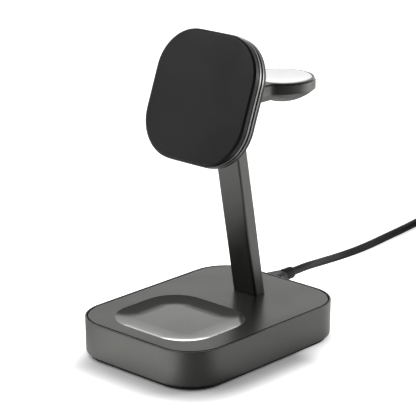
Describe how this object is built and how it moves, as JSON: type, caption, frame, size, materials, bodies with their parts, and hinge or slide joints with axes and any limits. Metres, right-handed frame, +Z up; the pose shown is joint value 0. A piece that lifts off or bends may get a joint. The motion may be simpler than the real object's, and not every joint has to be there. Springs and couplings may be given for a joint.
{
  "type": "wireless charging stand",
  "caption": "Desk charging stand: a weighted base with a shallow earbud tray, a leaning stem, a tilting square phone pad, a round watch puck on a rear arm, and a power lead.",
  "frame": {"origin": "middle of the base's footprint, on the table", "axes": "+Z up, -Y towards the person facing the phone pad, +X to that person's right, +Y towards the watch arm and the sockets"},
  "size_m": [0.0808, 0.3197, 0.1489],
  "materials": {
    "grey_metal": "fine blasted, dark grey anodised",
    "grey_cover": "satin metallic dark grey",
    "soft_black": "soft-touch matt black",
    "back_plastic": "fine matt black",
    "black_plastic": "matt black",
    "white_plastic": "satin white",
    "foot_rubber": "matt",
    "cable_rubber": "matt black",
    "screw_steel": "plated",
    "ballast_steel": "zinc plated sheet",
    "can_metal": "plain",
    "contact_metal": "nickel plated",
    "copper": "enamelled wire",
    "brass": "turned",
    "ferrite": "matt dark grey",
    "magnet": "nickel plated",
    "board": "solder mask",
    "tie_fabric": "woven strap"
  },
  "bodies": {
    "base": {"base_housing": "grey_metal", "top_cover": "grey_cover", "bottom_plate": "black_plastic", "foot_pad": "foot_rubber", "housing_screws": "screw_steel", "ballast_plate": "ballast_steel", "main_board": "board", "board_spacers": "brass", "board_screws": "screw_steel", "controller_chip": "black_plastic", "power_inductors": "ferrite", "capacitors": "can_metal", "input_socket": "contact_metal", "input_tongue": "black_plastic", "output_socket": "contact_metal", "output_tongue": "black_plastic", "tray_coil": "copper", "tray_ferrite": "ferrite", "stem": "grey_metal", "stem_foot": "can_metal", "stem_set_screws": "screw_steel", "stem_foot_screws": "screw_steel", "stem_harness": "cable_rubber", "watch_arm": "grey_metal", "watch_ferrite": "ferrite", "watch_coil": "copper", "watch_magnet": "magnet", "watch_cap": "white_plastic", "hinge_pin": "screw_steel", "hinge_washers": "brass", "cable_plug": "black_plastic", "cable_plug_shell": "contact_metal", "cable_collar": "cable_rubber", "cable_run": "cable_rubber", "cable_tail": "cable_rubber", "cable_coil": "cable_rubber", "coil_tie": "tie_fabric", "far_plug": "black_plastic", "far_plug_shell": "contact_metal", "far_collar": "cable_rubber"},
    "head": {"pad_cover": "soft_black", "head_frame": "grey_metal", "head_back": "back_plastic", "hinge_lug": "grey_metal", "lug_screws": "screw_steel", "magnet_ring": "magnet", "phone_coil": "copper", "phone_ferrite": "ferrite", "head_board": "board"}
  },
  "joints": [
    {"name": "head_tilt", "type": "hinge", "parent": "base", "child": "head", "pos_m": [0, 0.0041, 0.1178], "axis": [-1, 0, 0], "range_deg": [-20, 35]}
  ]
}
